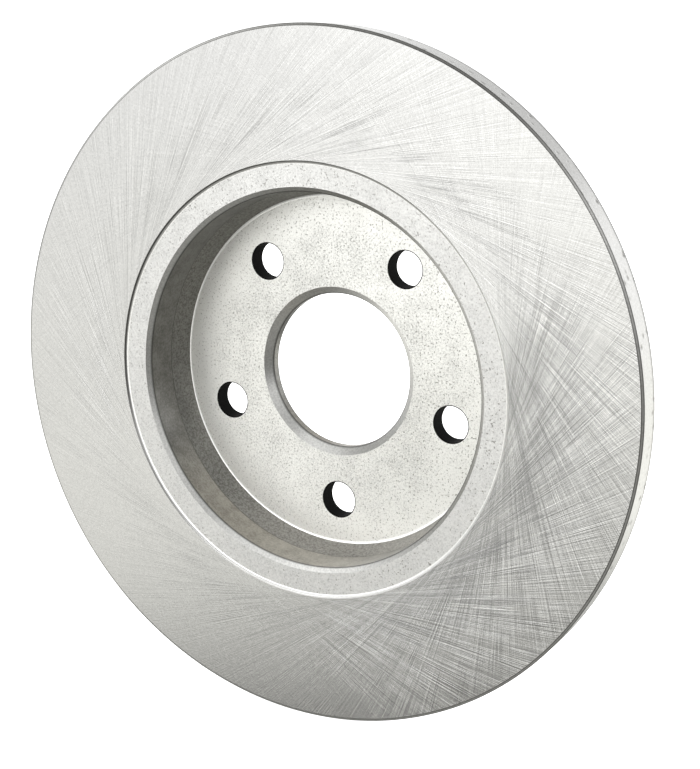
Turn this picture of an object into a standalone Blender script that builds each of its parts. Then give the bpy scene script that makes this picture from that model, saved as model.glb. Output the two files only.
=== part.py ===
"""Solid brake disc rotor: one grey-iron casting, turned all over and drilled for five wheel studs.

Metres, +Z up. The spin axis is Y: +Y points outboard, to the wheel, and -Y inboard, to the hub and
the car. The origin is on the spin axis, in the plane of the face that seats on the hub.
"""
import math

import bmesh
import bpy
from mathutils import Vector

MM = 0.001

# Friction ring
OUTER_RADIUS = 146.75 * MM
RING_THICKNESS = 12.8 * MM
RIM_CHAMFER_WIDTH = 1.25 * MM      # along the radius
RIM_CHAMFER_DEPTH = 0.7 * MM       # along the axis
FRICTION_INNER_RADIUS = 92.4 * MM
FRICTION_STEP = 1.2 * MM          # how far each friction face stands proud of the plain band inside it
STEP_FILLET = 1.0 * MM

# Hat
HUB_FACE_DEPTH = 28.2 * MM        # hub face behind the inboard friction face
FLANGE_THICKNESS = 8.0 * MM
MOUTH_RADIUS = 79.6 * MM          # turned wall inside the hat
MOUTH_CHAMFER = 2.0 * MM
TURNED_WALL_DEPTH = 18.0 * MM     # from the inboard friction face to the end of the turned wall
CAST_CONE_RADIUS = 76.0 * MM      # where the as-cast cone would meet the hub face
HUB_FACE_FILLET = 1.8 * MM
HAT_FOOT_RADIUS = 87.2 * MM
HAT_HEAD_RADIUS = 86.2 * MM
HAT_FOOT_FILLET = 3.0 * MM
HAT_EDGE_ROUND = 2.5 * MM

# Centre bore and wheel studs
BORE_RADIUS = 33.75 * MM
BORE_LEAD_CHAMFER = 3.2 * MM      # on the hub side
BORE_BACK_CHAMFER = 1.2 * MM      # on the wheel side
STUD_COUNT = 5
STUD_CIRCLE_RADIUS = 57.15 * MM
STUD_HOLE_RADIUS = 7.85 * MM
FIRST_STUD_ANGLE = math.radians(90)   # about the turning axis: this one ends up straight below the bore

# Facets
TURNING_STEPS = 96
HOLE_SIDES = 32
FILLET_POINTS = 4
SHARP_ANGLE = math.radians(32)
MERGE_DISTANCE = 0.00001

AXIS_TO_Y = (math.radians(-90), 0, 0)  # turns an object made about Z so that its top points along +Y


def clear_scene():
    """Remove whatever the scene holds."""
    for found in list(bpy.data.objects):
        bpy.data.objects.remove(found, do_unlink=True)


def new_collection(name):
    """Make a collection under the scene's own."""
    made = bpy.data.collections.new(name)
    bpy.context.scene.collection.children.link(made)
    return made


def iron_material(name):
    """Machined grey iron, bright from the lathe and slightly rough."""
    material = bpy.data.materials.new(name)
    material.use_nodes = True
    shader = material.node_tree.nodes["Principled BSDF"]
    shader.inputs["Base Color"].default_value = (0.52, 0.51, 0.48, 1)
    shader.inputs["Metallic"].default_value = 1.0
    shader.inputs["Roughness"].default_value = 0.42
    return material


def rounded_corner(before, corner, after, radius):
    """Points of the arc that rounds a corner of an outline."""
    to_before = (before - corner).normalized()
    to_after = (after - corner).normalized()
    half_angle = to_before.angle(to_after) / 2
    reach = radius / math.tan(half_angle)
    centre = corner + (to_before + to_after).normalized() * radius / math.sin(half_angle)
    start = (corner + to_before * reach - centre).normalized()
    end = (corner + to_after * reach - centre).normalized()
    points = []
    for index in range(FILLET_POINTS):
        share = index / (FILLET_POINTS - 1)
        points.append(centre + start.slerp(end, share) * radius)
    return points


def round_outline(corners):
    """Turn (radius, height, rounding) corners into the points of a closed outline."""
    places = [Vector((radius, height)) for radius, height, rounding in corners]
    points = []
    for index, (radius, height, rounding) in enumerate(corners):
        corner = places[index]
        if rounding == 0:
            points.append(corner)
            continue
        after = places[(index + 1) % len(places)]
        points.extend(rounded_corner(places[index - 1], corner, after, rounding))
    return points


def outboard_corners():
    """The wheel side: from the bore over the wheel face and down the hat to the rim."""
    ring_top = RING_THICKNESS - HUB_FACE_DEPTH
    band = ring_top - FRICTION_STEP
    return [
        (BORE_RADIUS + BORE_BACK_CHAMFER, FLANGE_THICKNESS, 0),
        (HAT_HEAD_RADIUS, FLANGE_THICKNESS, HAT_EDGE_ROUND),
        (HAT_FOOT_RADIUS, band, HAT_FOOT_FILLET),
        (FRICTION_INNER_RADIUS, band, STEP_FILLET),
        (FRICTION_INNER_RADIUS, ring_top, 0),
        (OUTER_RADIUS - RIM_CHAMFER_WIDTH, ring_top, 0),
        (OUTER_RADIUS, ring_top - RIM_CHAMFER_DEPTH, 0),
    ]


def inboard_corners():
    """The hub side: from the rim over the friction face and into the hat to the bore."""
    ring_bottom = -HUB_FACE_DEPTH
    band = ring_bottom + FRICTION_STEP
    return [
        (OUTER_RADIUS, ring_bottom + RIM_CHAMFER_DEPTH, 0),
        (OUTER_RADIUS - RIM_CHAMFER_WIDTH, ring_bottom, 0),
        (FRICTION_INNER_RADIUS, ring_bottom, 0),
        (FRICTION_INNER_RADIUS, band, STEP_FILLET),
        (MOUTH_RADIUS + MOUTH_CHAMFER, band, 0),
        (MOUTH_RADIUS, band + MOUTH_CHAMFER, 0),
        (MOUTH_RADIUS, TURNED_WALL_DEPTH - HUB_FACE_DEPTH, 0),
        (CAST_CONE_RADIUS, 0, HUB_FACE_FILLET),
        (BORE_RADIUS + BORE_LEAD_CHAMFER, 0, 0),
        (BORE_RADIUS, BORE_LEAD_CHAMFER, 0),
        (BORE_RADIUS, FLANGE_THICKNESS - BORE_BACK_CHAMFER, 0),
    ]


def turned_object(name, points, collection):
    """Turn a closed outline at +X about Z into a solid ring."""
    mesh = bpy.data.meshes.new(name)
    corners = [(point.x, 0, point.y) for point in points]
    edges = [(index, (index + 1) % len(points)) for index in range(len(points))]
    mesh.from_pydata(corners, edges, [])
    turned = bpy.data.objects.new(name, mesh)
    collection.objects.link(turned)
    screw = turned.modifiers.new("Turning", "SCREW")
    screw.axis = "Z"
    screw.angle = math.tau
    screw.steps = TURNING_STEPS
    screw.render_steps = TURNING_STEPS
    screw.use_merge_vertices = True
    screw.merge_threshold = MERGE_DISTANCE
    return turned


def stud_drills(collection):
    """One cutter with five separate cylinders on the stud circle, longer than the flange is thick."""
    mesh = bpy.data.meshes.new("stud_drills")
    drills = bmesh.new()
    for number in range(STUD_COUNT):
        angle = FIRST_STUD_ANGLE + math.tau * number / STUD_COUNT
        made = bmesh.ops.create_cone(
            drills, cap_ends=True, segments=HOLE_SIDES,
            radius1=STUD_HOLE_RADIUS, radius2=STUD_HOLE_RADIUS, depth=3 * FLANGE_THICKNESS)
        place = Vector((math.cos(angle), math.sin(angle), 0)) * STUD_CIRCLE_RADIUS
        place.z = FLANGE_THICKNESS / 2
        bmesh.ops.translate(drills, verts=made["verts"], vec=place)
    drills.to_mesh(mesh)
    drills.free()
    cutter = bpy.data.objects.new("stud_drills", mesh)
    cutter.hide_render = True
    cutter.display_type = "WIRE"
    cutter.rotation_euler = AXIS_TO_Y
    collection.objects.link(cutter)
    return cutter


def apply_and_smooth(shaped):
    """Apply an object's modifiers and shade its round surfaces smooth between sharp edges."""
    depsgraph = bpy.context.evaluated_depsgraph_get()
    solid = bpy.data.meshes.new_from_object(shaped.evaluated_get(depsgraph))
    shaped.modifiers.clear()
    shaped.data = solid
    solid.shade_smooth()
    solid.set_sharp_from_angle(angle=SHARP_ANGLE)


def rotor_casting(collection, cutter):
    """The whole rotor: a turned casting with its stud holes drilled."""
    outline = round_outline(outboard_corners() + inboard_corners())
    casting = turned_object("rotor_casting", outline, collection)
    casting.rotation_euler = AXIS_TO_Y
    casting.data.materials.append(iron_material("grey_iron"))
    drilling = casting.modifiers.new("Stud holes", "BOOLEAN")
    drilling.operation = "DIFFERENCE"
    drilling.solver = "EXACT"
    drilling.object = cutter
    apply_and_smooth(casting)
    return casting


def main():
    clear_scene()
    parts = new_collection("brake_disc_rotor")
    cutters = new_collection("cutters")
    rotor_casting(parts, stud_drills(cutters))


main()
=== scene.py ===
import math

import bmesh
import bpy
from mathutils import Matrix, Vector, noise


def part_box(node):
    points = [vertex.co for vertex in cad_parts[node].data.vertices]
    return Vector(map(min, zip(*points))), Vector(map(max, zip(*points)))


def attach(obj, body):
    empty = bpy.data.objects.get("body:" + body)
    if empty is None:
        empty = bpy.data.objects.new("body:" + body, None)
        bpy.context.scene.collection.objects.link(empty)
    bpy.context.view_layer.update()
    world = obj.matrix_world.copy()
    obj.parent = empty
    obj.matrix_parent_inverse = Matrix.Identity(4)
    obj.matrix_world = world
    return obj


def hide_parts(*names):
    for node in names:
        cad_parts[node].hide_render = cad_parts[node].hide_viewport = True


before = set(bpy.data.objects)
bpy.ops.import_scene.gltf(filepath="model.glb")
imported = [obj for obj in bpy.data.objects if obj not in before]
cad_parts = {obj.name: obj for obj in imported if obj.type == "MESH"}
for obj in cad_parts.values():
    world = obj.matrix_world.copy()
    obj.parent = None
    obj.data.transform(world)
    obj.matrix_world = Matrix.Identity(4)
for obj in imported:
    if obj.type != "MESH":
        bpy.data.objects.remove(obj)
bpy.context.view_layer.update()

MM = 0.001
LOW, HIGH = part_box("rotor_casting")

# The casting, in millimetres: radii from the spin axis, places along Y from the hub face.
RIM_RADIUS = HIGH.x / MM
WHEEL_FACE_Y = HIGH.y / MM
INBOARD_FACE_Y = LOW.y / MM
RING_THICKNESS = 12.8
OUTBOARD_FACE_Y = INBOARD_FACE_Y + RING_THICKNESS
RIM_CHAMFER_WIDTH = 1.25
RIM_CHAMFER_DEPTH = 0.7
FRICTION_INNER_RADIUS = 92.4
FRICTION_STEP = 1.2
INBOARD_BAND_Y = INBOARD_FACE_Y + FRICTION_STEP
OUTBOARD_BAND_Y = OUTBOARD_FACE_Y - FRICTION_STEP
STEP_SLOPE = 0.35       # how far the step leans in towards the axis
STEP_FILLET = 1.35
STEP_POLISHED_WIDTH = 1.9
HUB_PAINTED_LIGHT_RADIUS = 54   # painted light: the hub face is made brighter from here outwards
MOUTH_RADIUS = 79.6
MOUTH_CHAMFER = 2.0
TURNED_WALL_DEPTH = 18.0
LEDGE_START_RADIUS = 75.8
LEDGE_END_RADIUS = 76.7
LEDGE_RISE = 0.24
LEDGE_ROUND = 4.0
HAT_FOOT_RADIUS = 87.2
HAT_HEAD_RADIUS = 86.2
HAT_FOOT_FILLET = 3.0
HAT_EDGE_ROUND = 2.5
BORE_RADIUS = 33.75
BORE_LEAD_CHAMFER = 3.2
BORE_BACK_CHAMFER = 1.2
STUD_COUNT = 5
STUD_CIRCLE_RADIUS = 57.15
STUD_HOLE_RADIUS = 7.85
STUD_HOLE_BREAK = 0.45
STUD_HOLE_BREAK_DEPTH = 0.15
FIRST_STUD_ANGLE = math.radians(-90)
EDGE_BREAK = 0.15

TURNING_STEPS = 576
HOLE_STEPS = 96
CORNER_POINTS = 7
CAST_STEP = 0.9         # longest step of the outline on a cast surface
CAST_SKIN = ((2.6, 0.07), (0.9, 0.05))      # how wide its lumps are, and how high
SKIN_SHIFT = Vector((7, 3, 5))
SHARP_EDGE = math.radians(35)

# Painted shade: dark lines round the chamfers and at the turned wall's end, their places along Y, and half
# their widths.
PAINTED_CREASE_SHADES = (
    (INBOARD_FACE_Y, 0.38),
    (INBOARD_FACE_Y + RIM_CHAMFER_DEPTH, 0.38),
    (INBOARD_BAND_Y + MOUTH_CHAMFER, 0.7),
    (INBOARD_FACE_Y + TURNED_WALL_DEPTH, 0.7),
    (BORE_LEAD_CHAMFER, 0.8),
    (WHEEL_FACE_Y - BORE_BACK_CHAMFER, 0.8),
)
PAINTED_SHADE_COLOR = (0.10, 0.098, 0.09, 1)
PAINTED_SHADE_STRENGTH = 0.9

# The grinding scratches: straight lines, tangent to a circle just inside the friction face.
SCRATCH_TANGENT_RADIUS = 91.0
SCRATCH_SETS = ((110.0, 0.15), (200.0, 0.60), (330.0, 1.10))     # features per radian, and depth

# Where each mark, painted light and shade among them, is strongest, as an angle round the axis from +X
# towards +Z.
MARKED_MOST = math.radians(-28)
MARKED_LEAST = math.radians(-125)
# painted light: the wall is lighter and browner towards this angle
LIT_BROWN_SIDE = math.radians(-105)
# painted light: the cast skin is lighter towards this angle
LIT_CAST_SIDE = math.radians(-85)
# painted shade on the step, and painted light on the hub face, are strongest here
SHADED_SIDE = math.radians(130)
# painted shade on the rim's chamfer is strongest here
SHADED_CHAMFER = math.radians(70)

# Zones of the surface, and the material slot that each one takes.
GROUND, BAND, HUB, WALL, CAST, EDGE, POLISHED, RIM, DRILLED = range(9)


def rounded_corner(before, corner, after, radius):
    """Points of the arc that rounds a corner of an outline."""
    to_before = (before - corner).normalized()
    to_after = (after - corner).normalized()
    half_angle = to_before.angle(to_after) / 2
    reach = radius / math.tan(half_angle)
    centre = corner + (to_before + to_after).normalized() * radius / math.sin(half_angle)
    start = (corner + to_before * reach - centre).normalized()
    end = (corner + to_after * reach - centre).normalized()
    shares = [index / (CORNER_POINTS - 1) for index in range(CORNER_POINTS)]
    return [centre + start.slerp(end, share) * radius for share in shares]


def casting_corners():
    """Corners (radius, y, rounding) of half the casting's section, from the bore round to the bore."""
    wheel_edge = BORE_RADIUS + BORE_BACK_CHAMFER
    friction_edge = RIM_RADIUS - RIM_CHAMFER_WIDTH
    wall_end = INBOARD_FACE_Y + TURNED_WALL_DEPTH
    step_foot = FRICTION_INNER_RADIUS - STEP_SLOPE
    return [
        (wheel_edge, WHEEL_FACE_Y, EDGE_BREAK),
        (HAT_HEAD_RADIUS, WHEEL_FACE_Y, HAT_EDGE_ROUND),
        (HAT_FOOT_RADIUS, OUTBOARD_BAND_Y, HAT_FOOT_FILLET),
        (step_foot, OUTBOARD_BAND_Y, STEP_FILLET),
        (FRICTION_INNER_RADIUS, OUTBOARD_FACE_Y, EDGE_BREAK / 2),
        (friction_edge, OUTBOARD_FACE_Y, EDGE_BREAK),
        (RIM_RADIUS, OUTBOARD_FACE_Y - RIM_CHAMFER_DEPTH, EDGE_BREAK),
        (RIM_RADIUS, INBOARD_FACE_Y + RIM_CHAMFER_DEPTH, EDGE_BREAK),
        (friction_edge, INBOARD_FACE_Y, EDGE_BREAK),
        (FRICTION_INNER_RADIUS, INBOARD_FACE_Y, EDGE_BREAK / 2),
        (step_foot, INBOARD_BAND_Y, STEP_FILLET),
        (MOUTH_RADIUS + MOUTH_CHAMFER, INBOARD_BAND_Y, EDGE_BREAK),
        (MOUTH_RADIUS, INBOARD_BAND_Y + MOUTH_CHAMFER, EDGE_BREAK),
        (MOUTH_RADIUS, wall_end, EDGE_BREAK),
        (LEDGE_END_RADIUS, -LEDGE_RISE, EDGE_BREAK * 2),
        (LEDGE_START_RADIUS, 0, LEDGE_ROUND),
        (BORE_RADIUS + BORE_LEAD_CHAMFER, 0, EDGE_BREAK),
        (BORE_RADIUS, BORE_LEAD_CHAMFER, EDGE_BREAK),
        (BORE_RADIUS, WHEEL_FACE_Y - BORE_BACK_CHAMFER, EDGE_BREAK),
    ]


def casting_outline():
    """The section's points, with its cast stretches split finely enough to be made rough."""
    corners = casting_corners()
    places = [Vector((radius, y)) for radius, y, rounding in corners]
    rounded = []
    for index, (radius, y, rounding) in enumerate(corners):
        after = places[(index + 1) % len(places)]
        rounded.extend(rounded_corner(places[index - 1], places[index], after, rounding))
    points = []
    for index, point in enumerate(rounded):
        after = rounded[(index + 1) % len(rounded)]
        points.append(point)
        middle = (point + after) / 2
        if is_cast(middle.x, middle.y):
            parts = max(1, round((after - point).length / CAST_STEP))
            points.extend(point.lerp(after, part / parts) for part in range(1, parts))
    return points


def is_cast(radius, y):
    """Whether a place on the section keeps the skin that it was cast with."""
    in_hat = LEDGE_END_RADIUS - EDGE_BREAK < radius < MOUTH_RADIUS
    on_cone = in_hat and INBOARD_FACE_Y + TURNED_WALL_DEPTH < y < -LEDGE_RISE
    outside = HAT_HEAD_RADIUS < radius < HAT_FOOT_RADIUS + HAT_FOOT_FILLET / 2
    on_hat = outside and OUTBOARD_BAND_Y + FRICTION_STEP / 2 < y < WHEEL_FACE_Y - HAT_EDGE_ROUND
    return on_cone or on_hat


def zone_of(radius, y):
    """The zone that a place on the surface belongs to."""
    if is_cast(radius, y):
        return CAST
    if radius > RIM_RADIUS - EDGE_BREAK:
        return RIM
    if radius > RIM_RADIUS - RIM_CHAMFER_WIDTH + EDGE_BREAK / 2:
        return EDGE
    if radius > FRICTION_INNER_RADIUS:
        return GROUND
    if radius > FRICTION_INNER_RADIUS - STEP_POLISHED_WIDTH:
        return POLISHED
    if radius > MOUTH_RADIUS + MOUTH_CHAMFER:
        return BAND
    if y < -LEDGE_RISE:
        return EDGE if y < INBOARD_BAND_Y + MOUTH_CHAMFER else WALL
    if radius > LEDGE_START_RADIUS - LEDGE_RISE and y < EDGE_BREAK:
        return POLISHED
    if radius > BORE_RADIUS + BORE_LEAD_CHAMFER or y > WHEEL_FACE_Y - EDGE_BREAK:
        return HUB
    in_bore = BORE_LEAD_CHAMFER < y < WHEEL_FACE_Y - BORE_BACK_CHAMFER
    return WALL if in_bore else EDGE


def turn(bm, points, steps):
    """Turn an outline of (radius, y) points about Y into a closed ring of faces."""
    rings = []
    for step in range(steps):
        angle = math.tau * step / steps
        across, up = math.cos(angle), math.sin(angle)
        rings.append([bm.verts.new((p.x * across * MM, p.y * MM, p.x * up * MM)) for p in points])
    for step in range(steps):
        here, there = rings[step], rings[(step + 1) % steps]
        for index in range(len(points)):
            after = (index + 1) % len(points)
            bm.faces.new((here[index], here[after], there[after], there[index]))


def stud_drills():
    """Cutters for the stud holes, flared where they break each edge."""
    depth = STUD_HOLE_BREAK_DEPTH
    flare = STUD_HOLE_RADIUS + 2 * STUD_HOLE_BREAK
    outline = [
        Vector((flare, WHEEL_FACE_Y + depth)),
        Vector((STUD_HOLE_RADIUS, WHEEL_FACE_Y - depth)),
        Vector((STUD_HOLE_RADIUS, depth)),
        Vector((flare, -depth)),
    ]
    bm = bmesh.new()
    for number in range(STUD_COUNT):
        angle = FIRST_STUD_ANGLE + math.tau * number / STUD_COUNT
        centre = Vector((math.cos(angle), 0, math.sin(angle))) * STUD_CIRCLE_RADIUS
        rows = []
        for point in outline:
            row = []
            for step in range(HOLE_STEPS):
                turned = math.tau * step / HOLE_STEPS
                spot = Vector((math.cos(turned) * point.x, point.y, math.sin(turned) * point.x))
                row.append(bm.verts.new((centre + spot) * MM))
            rows.append(row)
        for upper, lower in zip(rows, rows[1:]):
            for step in range(HOLE_STEPS):
                after = (step + 1) % HOLE_STEPS
                bm.faces.new((upper[step], upper[after], lower[after], lower[step]))
        bm.faces.new(list(reversed(rows[0])))
        bm.faces.new(rows[-1])
    bmesh.ops.recalc_face_normals(bm, faces=bm.faces)
    mesh = bpy.data.meshes.new("stud_drills")
    bm.to_mesh(mesh)
    bm.free()
    cutter = bpy.data.objects.new("stud_drills", mesh)
    bpy.context.scene.collection.objects.link(cutter)
    return cutter


def roughen(bm):
    """Push the cast skin in and out by up to about a tenth of a millimetre."""
    for vert in bm.verts:
        if not all(face.material_index == CAST for face in vert.link_faces):
            continue
        push = 0.0
        for number, (width, height) in enumerate(CAST_SKIN):
            push += height * noise.noise(vert.co / (width * MM) + number * SKIN_SHIFT)
        vert.co += vert.normal * push * MM


def rotor_mesh():
    """The casting as a finely turned mesh, with a material zone on every face."""
    bm = bmesh.new()
    turn(bm, casting_outline(), TURNING_STEPS)
    bmesh.ops.recalc_face_normals(bm, faces=bm.faces)
    for face in bm.faces:
        middle = face.calc_center_median()
        face.material_index = zone_of(math.hypot(middle.x, middle.z) / MM, middle.y / MM)
    bm.normal_update()
    roughen(bm)
    mesh = bpy.data.meshes.new("rotor")
    bm.to_mesh(mesh)
    bm.free()
    return mesh


def drill(piece):
    """Cut the stud holes, whose walls take their own material."""
    cutter = stud_drills()
    cutter.data.materials.append(piece.data.materials[DRILLED])
    drilling = piece.modifiers.new("Stud holes", "BOOLEAN")
    drilling.operation = "DIFFERENCE"
    drilling.solver = "EXACT"
    drilling.material_mode = "TRANSFER"
    drilling.object = cutter
    depsgraph = bpy.context.evaluated_depsgraph_get()
    solid = bpy.data.meshes.new_from_object(piece.evaluated_get(depsgraph))
    piece.modifiers.clear()
    piece.data = solid
    bpy.data.objects.remove(cutter)


def rotor():
    """The whole rotor, drilled and shaded smooth between its edges."""
    piece = bpy.data.objects.new("rotor", rotor_mesh())
    bpy.context.scene.collection.objects.link(piece)
    for material in rotor_materials():
        piece.data.materials.append(material)
    drill(piece)
    piece.data.shade_smooth()
    piece.data.set_sharp_from_angle(angle=SHARP_EDGE)
    weighting = piece.modifiers.new("Weighted normals", "WEIGHTED_NORMAL")
    weighting.keep_sharp = True
    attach(piece, "root")
    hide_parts("rotor_casting")


class Nodes:
    """A node tree, with one short call for each kind of node that is used here."""

    def __init__(self, tree):
        self.tree = tree

    def link(self, value, socket):
        """Give a socket a value, or the output of another node."""
        if isinstance(value, (int, float, tuple)):
            socket.default_value = value
        else:
            self.tree.links.new(value, socket)

    def math(self, operation, first, second=0.0, clamp=False):
        """One sum on one or two values."""
        node = self.tree.nodes.new("ShaderNodeMath")
        node.operation = operation
        node.use_clamp = clamp
        self.link(first, node.inputs[0])
        self.link(second, node.inputs[1])
        return node.outputs[0]

    def add(self, first, *others):
        """The sum of all the values."""
        for other in others:
            first = self.math("ADD", first, other)
        return first

    def times(self, first, *others):
        """The product of all the values."""
        for other in others:
            first = self.math("MULTIPLY", first, other)
        return first

    def ramp(self, value, low, high, to_low=0.0, to_high=1.0):
        """Map a value smoothly from one range to another."""
        node = self.tree.nodes.new("ShaderNodeMapRange")
        node.interpolation_type = "SMOOTHSTEP"
        self.link(value, node.inputs["Value"])
        for name, number in (("From Min", low), ("From Max", high), ("To Min", to_low), ("To Max", to_high)):
            self.link(number, node.inputs[name])
        return node.outputs[0]

    def split(self, place):
        """The x, y and z of a place."""
        node = self.tree.nodes.new("ShaderNodeSeparateXYZ")
        self.link(place, node.inputs[0])
        return node.outputs

    def vector(self, x, y, z):
        """A place from its x, y and z."""
        node = self.tree.nodes.new("ShaderNodeCombineXYZ")
        for value, socket in zip((x, y, z), node.inputs):
            self.link(value, socket)
        return node.outputs[0]

    def mix(self, share, first, second):
        """Blend two colours."""
        node = self.tree.nodes.new("ShaderNodeMix")
        node.data_type = "RGBA"
        self.link(share, node.inputs["Factor"])
        self.link(first, node.inputs["A"])
        self.link(second, node.inputs["B"])
        return node.outputs["Result"]


class Surface(Nodes):
    """A material's nodes, which know the radius and the angle round the spin axis, in millimetres."""

    def __init__(self, name, roughness, metallic=1.0):
        self.material = bpy.data.materials.new(name)
        self.material.use_nodes = True
        super().__init__(self.material.node_tree)
        self.shader = self.tree.nodes["Principled BSDF"]
        self.shader.inputs["Metallic"].default_value = metallic
        self.shader.inputs["Roughness"].default_value = roughness
        coordinates = self.tree.nodes.new("ShaderNodeTexCoord")
        scaled = self.tree.nodes.new("ShaderNodeVectorMath")
        scaled.operation = "SCALE"
        scaled.inputs["Scale"].default_value = 1 / MM
        self.tree.links.new(coordinates.outputs["Object"], scaled.inputs[0])
        self.place = scaled.outputs[0]
        self.x, self.y, self.z = self.split(self.place)
        self.radius = self.math("SQRT", self.add(self.times(self.x, self.x), self.times(self.z, self.z)))
        self.angle = self.math("ARCTAN2", self.z, self.x)

    def noise(self, place, scale=1.0, detail=2.0, roughness=0.5):
        """A noise of mean one half, whose grain is about 1 / scale across."""
        node = self.tree.nodes.new("ShaderNodeTexNoise")
        self.link(place, node.inputs["Vector"])
        self.link(scale, node.inputs["Scale"])
        self.link(detail, node.inputs["Detail"])
        self.link(roughness, node.inputs["Roughness"])
        return node.outputs["Fac"]

    def near(self, value, middle, reach):
        """1 where a value is at the middle, falling to 0 at a reach from it."""
        return self.ramp(self.math("ABSOLUTE", self.math("SUBTRACT", value, middle)), reach, 0.0)

    def spots(self, place, scale, size, share):
        """Small round spots, 1 at their middles, on a share of the cells of a random grid."""
        node = self.tree.nodes.new("ShaderNodeTexVoronoi")
        self.link(place, node.inputs["Vector"])
        self.link(scale, node.inputs["Scale"])
        near = self.ramp(node.outputs["Distance"], size, 0.0)
        parts = self.tree.nodes.new("ShaderNodeSeparateColor")
        self.link(node.outputs["Color"], parts.inputs[0])
        chosen = self.math("LESS_THAN", parts.outputs[0], share)
        return self.times(near, chosen)

    def around(self, angle, features, third=0.0):
        """A place on a circle, so that a noise over it closes without a seam."""
        turned_x = self.times(self.math("COSINE", angle), features)
        turned_y = self.times(self.math("SINE", angle), features)
        return self.vector(turned_x, turned_y, third)

    def with_painted_crease_shade(self, color):
        """Paint shade into a colour along the edges of the chamfers."""
        for edge, reach in PAINTED_CREASE_SHADES:
            painted_shade = self.near(self.y, edge, reach)
            color = self.mix(self.times(painted_shade, PAINTED_SHADE_STRENGTH), color, PAINTED_SHADE_COLOR)
        return color

    def toward(self, middle, edge):
        """1 at one angle round the axis, fading to 0 where the cosine of the way to it is edge."""
        return self.ramp(self.math("COSINE", self.math("SUBTRACT", self.angle, middle)), edge, 1.0)

    def stretch(self, amount):
        """Spread reflections across the turning marks, which run round the axis."""
        tangent = self.tree.nodes.new("ShaderNodeTangent")
        tangent.direction_type = "RADIAL"
        tangent.axis = "Y"
        self.link(tangent.outputs[0], self.shader.inputs["Tangent"])
        self.shader.inputs["Anisotropic"].default_value = amount
        self.shader.inputs["Anisotropic Rotation"].default_value = 0.25

    def bump(self, height, distance):
        """Raise the surface by height times distance, in millimetres."""
        node = self.tree.nodes.new("ShaderNodeBump")
        node.inputs["Strength"].default_value = 1.0
        node.inputs["Distance"].default_value = distance * MM
        self.link(height, node.inputs["Height"])
        self.link(node.outputs[0], self.shader.inputs["Normal"])

    def finish(self, color, roughness=None):
        """Give the shader its colour, and a roughness if it varies, and return the material."""
        self.link(color, self.shader.inputs["Base Color"])
        if roughness is not None:
            self.link(roughness, self.shader.inputs["Roughness"])
        return self.material


# Base colours: most materials run from a dark tone to a light one.
GROUND_TONES = ((0.43, 0.427, 0.418, 1), (0.77, 0.766, 0.754, 1))
WALL_TONES = ((0.165, 0.16, 0.147, 1), (0.31, 0.305, 0.285, 1))
# lighter, browner tones for the wall's lowest part: the lightening is painted light
LIT_BROWN_TONES = ((0.28, 0.26, 0.225, 1), (0.50, 0.475, 0.42, 1))
CAST_TONES = ((0.22, 0.215, 0.20, 1), (0.42, 0.415, 0.39, 1))
# lighter tones for the cast skin's lowest part, which are painted light
LIT_CAST_TONES = ((0.28, 0.27, 0.25, 1), (0.52, 0.505, 0.475, 1))
EDGE_TONES = ((0.60, 0.595, 0.575, 1), (0.80, 0.795, 0.77, 1))
POLISHED_TONES = ((0.84, 0.835, 0.815, 1), (0.96, 0.955, 0.935, 1))
RIM_TONES = ((0.52, 0.515, 0.50, 1), (0.68, 0.675, 0.66, 1))
# painted shade: the stud-hole walls are made near black
HOLE_SHADE_TONES = ((0.003, 0.003, 0.0028, 1), (0.010, 0.010, 0.009, 1))
PORE_COLOR = (0.17, 0.15, 0.115, 1)
CAST_PIT_COLOR = (0.06, 0.06, 0.055, 1)
RIM_PIT_COLOR = (0.12, 0.115, 0.10, 1)


def scratch_family(iron, side, offset):
    """Straight scratches, tangent to a circle just inside the friction face: thin lines and broad fans. The
    fans are painted sheen.
    """
    swing = iron.math("ARCCOSINE", iron.math("DIVIDE", SCRATCH_TANGENT_RADIUS, iron.radius, clamp=True))
    angle = iron.add(iron.angle, iron.times(swing, side))
    along = iron.add(iron.times(iron.radius, 0.04), offset)
    lines = 0.0
    for features, weight in SCRATCH_SETS:
        wave = iron.noise(iron.around(angle, features, iron.add(along, features)), detail=0.0)
        bright = iron.ramp(wave, 0.58, 0.67)
        dark = iron.ramp(wave, 0.42, 0.33)
        lines = iron.add(lines, iron.times(bright, weight), iron.times(dark, -weight))
    fan_place = iron.around(angle, 9.0, iron.add(iron.times(along, 0.4), 5.0))
    fan = iron.noise(fan_place, detail=3.0, roughness=0.6)
    patch = iron.noise(iron.around(angle, 16.0, iron.add(iron.times(along, 2.0), 23.0)))
    strength = iron.ramp(patch, 0.35, 0.65, to_low=0.4)
    return iron.times(lines, strength), iron.math("SUBTRACT", fan, 0.5)


def scratch_depth(iron):
    """How deep the scratches are: deepest at the lower right and towards the step."""
    # Where scratches are deeper they are also painted lighter and darker, which is painted reflection.
    depth = iron.add(0.48, iron.times(iron.toward(MARKED_MOST, 0.5), 0.80))
    depth = iron.add(depth, iron.times(iron.toward(MARKED_LEAST, 0.6), -0.33))
    return iron.times(depth, iron.ramp(iron.radius, MOUTH_RADIUS, RIM_RADIUS, to_low=1.75, to_high=0.5))


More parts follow.
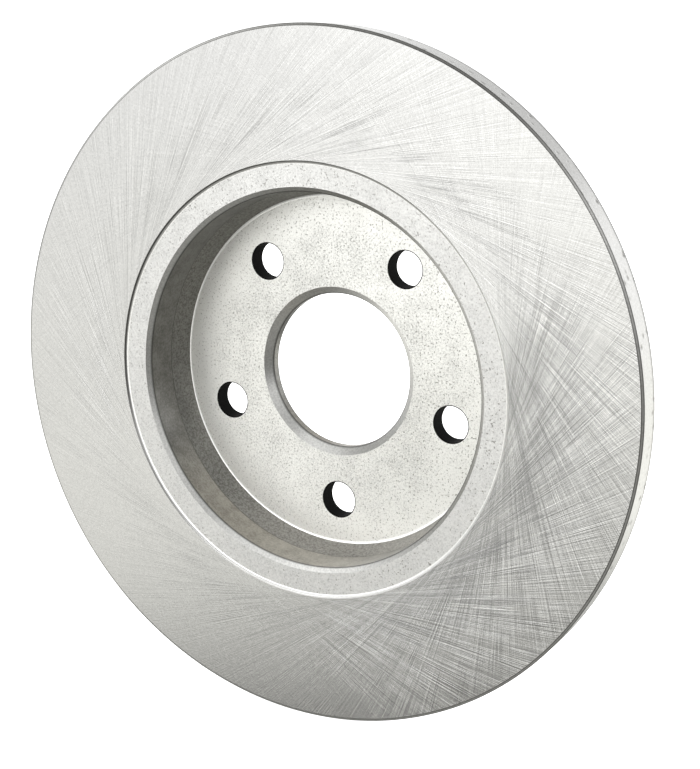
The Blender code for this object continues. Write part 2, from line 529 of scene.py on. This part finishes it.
def ground_iron():
    """Friction face: two crossing families of scratches, left by swirl grinding, bumped in as grooves and
    also painted into the colour as light and dark lines, which is painted reflection.
    """
    iron = Surface("ground_iron", roughness=0.20)
    lines, fans = scratch_family(iron, side=1, offset=0.0)
    crossing, crossing_fans = scratch_family(iron, side=-1, offset=61.0)
    crossing = iron.times(crossing, iron.add(0.25, iron.times(iron.toward(MARKED_MOST, -0.6), 0.75)))
    depth = scratch_depth(iron)
    height = iron.times(iron.add(lines, crossing), depth)
    inner = iron.ramp(iron.radius, FRICTION_INNER_RADIUS, FRICTION_INNER_RADIUS + 16, to_low=0.3)
    fans = iron.times(iron.add(fans, crossing_fans), depth, inner)
    grain = iron.noise(iron.place, scale=1.3, roughness=0.7)
    iron.bump(iron.add(iron.times(height, inner), iron.times(grain, 0.6)), distance=0.025)
    # Painted reflection and sheen: the scratch lines and the fans lighten and darken the colour.
    tone = iron.add(iron.times(height, 0.40), iron.times(fans, 0.14))
    tone = iron.add(tone, iron.times(iron.math("SUBTRACT", grain, 0.5), 0.6))
    return iron.finish(iron.mix(iron.ramp(tone, -0.6, 0.6), *GROUND_TONES))


def turned_iron(name, color, roughness, stretch, graininess, cloudiness, porosity, painted_outer_light):
    """Matt turned iron, with open graphite pores, cloudy handling marks, and painted light, as much as asked
    for, towards its outer edge, most on its shaded side.
    """
    iron = Surface(name, roughness, metallic=0.88)
    iron.stretch(stretch)
    grain = iron.noise(iron.place, scale=1.2, detail=3.0, roughness=0.85)
    pores = iron.noise(iron.place, scale=1.1, roughness=0.7)
    pores = iron.ramp(pores, 0.62 - porosity, 0.70 - porosity)
    clouds = iron.noise(iron.place, scale=0.07, detail=4.0, roughness=0.62)
    feed = iron.noise(iron.vector(iron.radius, 0.0, 0.0), scale=3.0)
    iron.bump(iron.add(grain, iron.times(feed, 0.25), iron.times(pores, -0.8)), distance=0.08)
    dark = tuple(0.50 * value for value in color) + (1,)
    bright = tuple(1.12 * value for value in color) + (1,)
    tone = iron.add(iron.times(grain, graininess), iron.times(clouds, cloudiness))
    tone = iron.add(tone, 0.60 - 0.5 * (graininess + cloudiness))
    # Painted light: lighter towards the outer edge, most on the side that the hat's wall shades.
    painted_light = iron.add(painted_outer_light, iron.times(iron.toward(SHADED_SIDE, 0.0), 2 * painted_outer_light))
    outer = iron.ramp(iron.radius, HUB_PAINTED_LIGHT_RADIUS, LEDGE_START_RADIUS)
    tone = iron.add(tone, iron.times(outer, painted_light))
    shade = iron.mix(iron.ramp(tone, 0.2, 0.75), dark, bright)
    pore_share = iron.add(0.45, iron.times(iron.toward(MARKED_MOST, 0.0), 0.35))
    shade = iron.mix(iron.times(pores, pore_share), shade, PORE_COLOR)
    varied = iron.ramp(clouds, 0.3, 0.7, to_low=roughness + 0.04, to_high=roughness - 0.04)
    return iron.finish(shade, varied)


def wall_iron():
    """Turned wall of the hat, and the bore: dull, browner and lighter at its lowest, where the lightening is
    painted light, and with painted shade along its creases.
    """
    iron = Surface("wall_iron", roughness=0.30, metallic=0.85)
    grain = iron.noise(iron.place, detail=3.0, roughness=0.75)
    stains = iron.noise(iron.around(iron.angle, 12.0, iron.times(iron.y, 0.12)), detail=3.0, roughness=0.6)
    feed = iron.noise(iron.vector(0.0, iron.y, 0.0), scale=2.6)
    iron.bump(iron.add(grain, iron.times(feed, 0.4)), distance=0.03)
    tone = iron.ramp(iron.add(iron.times(grain, 0.6), iron.times(stains, 0.4)), 0.33, 0.67)
    # Lighter and browner towards the bottom: the lightening is painted light.
    bare = iron.mix(tone, *WALL_TONES)
    brown = iron.mix(tone, *LIT_BROWN_TONES)
    return iron.finish(iron.with_painted_crease_shade(iron.mix(iron.toward(LIT_BROWN_SIDE, 0.6), bare, brown)))


def cast_iron():
    """As-cast skin: grey, matt, grainy and pitted, and lighter where it lies lowest, which is painted light.
    """
    iron = Surface("cast_iron", roughness=0.42)
    grain = iron.noise(iron.place, detail=4.0, roughness=0.7)
    pits = iron.spots(iron.place, scale=0.5, size=0.22, share=0.2)
    iron.bump(iron.add(grain, iron.times(pits, -0.6)), distance=0.07)
    tone = iron.ramp(grain, 0.33, 0.67)
    bare = iron.mix(tone, *CAST_TONES)
    # Painted light: lighter towards the bottom.
    grey = iron.mix(tone, *LIT_CAST_TONES)
    color = iron.mix(iron.toward(LIT_CAST_SIDE, 0.6), bare, grey)
    return iron.finish(iron.mix(iron.times(pits, 0.8), color, CAST_PIT_COLOR))


def edge_iron():
    """Turned chamfers: brighter than the walls, with fine lines round them, painted shade along their edges,
    and painted shade on the rim's chamfer towards the upper right.
    """
    iron = Surface("edge_iron", roughness=0.34)
    grain = iron.noise(iron.place, scale=1.2, detail=3.0, roughness=0.7)
    feed = iron.noise(iron.vector(iron.radius, iron.y, 0.0), scale=3.0)
    iron.bump(iron.add(iron.times(grain, 0.5), feed), distance=0.02)
    color = iron.mix(iron.ramp(grain, 0.3, 0.7), *EDGE_TONES)
    # Painted shade on the rim's chamfer, strongest towards the upper right.
    on_rim = iron.ramp(iron.radius, FRICTION_INNER_RADIUS, RIM_RADIUS - RIM_CHAMFER_WIDTH)
    dark = iron.times(on_rim, iron.toward(SHADED_CHAMFER, 0.7))
    return iron.finish(iron.with_painted_crease_shade(iron.mix(iron.times(dark, 0.75), color, PAINTED_SHADE_COLOR)))


def polished_iron():
    """Narrow bands that the turning tool's nose left smooth: the steps and the hub face's ledge."""
    iron = Surface("polished_iron", roughness=0.30)
    grain = iron.noise(iron.place, scale=1.2, detail=3.0, roughness=0.7)
    iron.bump(grain, distance=0.01)
    color = iron.mix(iron.ramp(grain, 0.3, 0.7), *POLISHED_TONES)
    # Painted shade along the step, strongest on its shaded side.
    at_step = iron.near(iron.radius, FRICTION_INNER_RADIUS - 0.2, reach=0.55)
    painted_shade = iron.times(at_step, iron.toward(SHADED_SIDE, -0.75))
    return iron.finish(iron.mix(iron.times(painted_shade, 0.95), color, PAINTED_SHADE_COLOR))


def rim_iron():
    """Rim: turned iron with a few casting pores, and painted shade towards its outboard chamfer."""
    iron = Surface("rim_iron", roughness=0.28)
    grain = iron.noise(iron.place, scale=1.2, detail=3.0, roughness=0.7)
    feed = iron.noise(iron.vector(0.0, iron.y, 0.0), scale=3.0)
    pits = iron.spots(iron.place, scale=0.30, size=0.5, share=0.25)
    iron.bump(iron.add(grain, iron.times(feed, 0.4), iron.times(pits, -6.0)), distance=0.03)
    color = iron.mix(iron.ramp(grain, 0.3, 0.7), *RIM_TONES)
    color = iron.mix(iron.times(pits, 0.8), color, RIM_PIT_COLOR)
    # Painted shade along the outboard chamfer's edge.
    painted_shade = iron.near(iron.y, OUTBOARD_FACE_Y - RIM_CHAMFER_DEPTH, reach=2.6)
    return iron.finish(iron.mix(iron.times(painted_shade, PAINTED_SHADE_STRENGTH), color, PAINTED_SHADE_COLOR))


def drilled_iron():
    """Stud-hole walls: near black and barely reflecting, which is painted shade."""
    iron = Surface("drilled_iron", roughness=0.7, metallic=0.0)
    iron.shader.inputs["Specular IOR Level"].default_value = 0.05
    grain = iron.noise(iron.place, scale=1.5, detail=3.0, roughness=0.6)
    iron.bump(grain, distance=0.03)
    return iron.finish(iron.mix(iron.ramp(grain, 0.3, 0.7), *HOLE_SHADE_TONES))


def rotor_materials():
    """The materials in the order of the zones."""
    band = turned_iron(
        "band_iron", color=(0.75, 0.745, 0.73), roughness=0.38, stretch=0.0,
        graininess=0.75, cloudiness=0.10, porosity=0.0, painted_outer_light=0.0,
    )
    hub = turned_iron(
        "hub_iron", color=(0.87, 0.865, 0.83), roughness=0.39, stretch=0.45,
        graininess=1.25, cloudiness=0.35, porosity=0.035, painted_outer_light=0.12,
    )
    inside = [wall_iron(), cast_iron(), edge_iron(), polished_iron()]
    return [ground_iron(), band, hub] + inside + [rim_iron(), drilled_iron()]


# The camera: where it stands from the middle of the inboard friction face, and how it is turned.
CAMERA_AZIMUTH = math.radians(29.374)
CAMERA_ELEVATION = math.radians(11.558)
CAMERA_ROLL = math.radians(-0.918)
CAMERA_DISTANCE = 619.87
CAMERA_AIM = Vector((23.77, INBOARD_FACE_Y, 11.36))
FOCAL_LENGTH = 71.49
FRAME_SHIFT = (-0.0033, -0.0286)

# The floor's size, in metres, and how bright the camera sees the background.
FLOOR_RADIUS = 12
FLOOR_SIDES = 64
WHITE = 1.1


def camera():
    """The camera, from the hub side, to the right and a little above."""
    around, above = CAMERA_AZIMUTH, CAMERA_ELEVATION
    back = Vector((math.sin(around) * math.cos(above), -math.cos(around) * math.cos(above), math.sin(above)))
    level = Vector((math.cos(around), math.sin(around), 0))
    right = level * math.cos(CAMERA_ROLL) + back.cross(level) * math.sin(CAMERA_ROLL)
    up = back.cross(right)
    data = bpy.data.cameras.new("camera")
    data.lens = FOCAL_LENGTH
    data.shift_x, data.shift_y = FRAME_SHIFT
    made = bpy.data.objects.new("camera", data)
    place = (CAMERA_AIM + back * CAMERA_DISTANCE) * MM
    turned = Matrix((right, up, back)).transposed().to_4x4()
    made.matrix_world = Matrix.Translation(place) @ turned
    bpy.context.scene.collection.objects.link(made)
    bpy.context.scene.camera = made


def floor():
    """A plain white floor that the rotor stands on."""
    bm = bmesh.new()
    bmesh.ops.create_circle(bm, cap_ends=True, segments=FLOOR_SIDES, radius=FLOOR_RADIUS)
    bmesh.ops.translate(bm, verts=bm.verts, vec=(0, 0, LOW.z))
    mesh = bpy.data.meshes.new("floor")
    bm.to_mesh(mesh)
    bm.free()
    made = bpy.data.objects.new("floor", mesh)
    bpy.context.scene.collection.objects.link(made)
    material = bpy.data.materials.new("floor")
    material.use_nodes = True
    shader = material.node_tree.nodes["Principled BSDF"]
    shader.inputs["Base Color"].default_value = (0.9, 0.9, 0.9, 1)
    shader.inputs["Roughness"].default_value = 0.9
    shader.inputs["Emission Color"].default_value = (1, 1, 1, 1)
    shader.inputs["Emission Strength"].default_value = 1.0
    mesh.materials.append(material)
    made.visible_glossy = False
    made.visible_diffuse = False


# The light all round: its strength, and its colour above and below the horizon.
AMBIENT = 0.34
SKY_TINT = (0.995, 1.0, 1.0, 1)
FLOOR_TINT = (0.99, 0.99, 0.945, 1)

# The studio's soft panels, by direction from the rotor, in degrees. Side 0 is towards -Y, and + is
# towards +X. Each has its side, half its width, its lowest and highest edge, and its strength. A card,
# which takes light away, has a negative strength.
PANEL_EDGE = 3
PANELS = (
    (-18, 36, -22, 15, 0.92),      # key, in front to the left, about level with the rotor
    (-6, 22, -8, 15, 0.45),        # the key's upper right is brighter
    (-24, 27, 7, 18, 1.40),        # and so is a strip along its top
    (-17, 8, -23, -15, -0.32),     # a dark card under its middle
    (-25, 38, -36, -23, -0.20),    # another under its whole width
    (-52, 8, -22, 10, -0.20),      # and one at its left end
    (2, 42, 18, 36, 0.70),         # a dimmer panel above it
    (-95, 40, -34, 32, 0.34),      # left wall
    (-82, 38, 36, 62, 1.05),       # its upper part
    (-70, 16, 10, 36, 0.45),       # its corner with the key
    (-125, 25, -50, -25, 0.25),    # its lower part
    (68, 14, 8, 26, 1.00),         # narrow panel on the right
    (56, 26, 4, 50, 0.15),         # and the wall round it
    (48, 28, -24, 2, -0.12),       # and a dark card under it
    (180, 58, -28, 19, 1.12),      # white backdrop
    (180, 90, 21, 52, 0.45),       # the backdrop's upper part
    (0, 180, 57, 90, 1.08),        # overhead panel
)


class Sky(Nodes):
    """The world's nodes: how bright each direction is."""

    def __init__(self, tree):
        super().__init__(tree)
        coordinates = tree.nodes.new("ShaderNodeTexCoord")
        self.x, self.y, z = self.split(coordinates.outputs["Generated"])
        self.height = self.math("ARCSINE", z)
        self.level = self.math("SQRT", self.add(self.times(self.x, self.x), self.times(self.y, self.y)))

    def panel(self, side, half_width, lowest, highest, strength):
        """A soft-edged panel of light."""
        edge = math.radians(PANEL_EDGE)
        toward = math.radians(side)
        ahead = self.add(self.times(self.x, math.sin(toward)), self.times(self.y, -math.cos(toward)))
        away = self.math("ARCCOSINE", self.math("DIVIDE", ahead, self.level))
        width = math.radians(half_width)
        low, high = math.radians(lowest), math.radians(highest)
        across = self.ramp(away, width + edge, width - edge)
        above = self.ramp(self.height, low - edge, low + edge)
        below = self.ramp(self.height, high + edge, high - edge)
        return self.times(across, above, below, strength)


def studio():
    """A white studio, lit by soft panels that only the metal's reflections show."""
    world = bpy.data.worlds.new("studio")
    bpy.context.scene.world = world
    world.use_nodes = True
    sky = Sky(world.node_tree)
    background = sky.tree.nodes["Background"]
    warmth = sky.ramp(sky.height, 0.1, -0.3)
    sky.link(sky.mix(warmth, SKY_TINT, FLOOR_TINT), background.inputs["Color"])
    light = sky.add(AMBIENT, *[sky.panel(*panel) for panel in PANELS])
    path = sky.tree.nodes.new("ShaderNodeLightPath")
    light = sky.math("MAXIMUM", light, sky.times(path.outputs["Is Camera Ray"], WHITE))
    sky.link(light, background.inputs["Strength"])


camera()
floor()
studio()
rotor()
bpy.context.scene.view_settings.view_transform = "Standard"
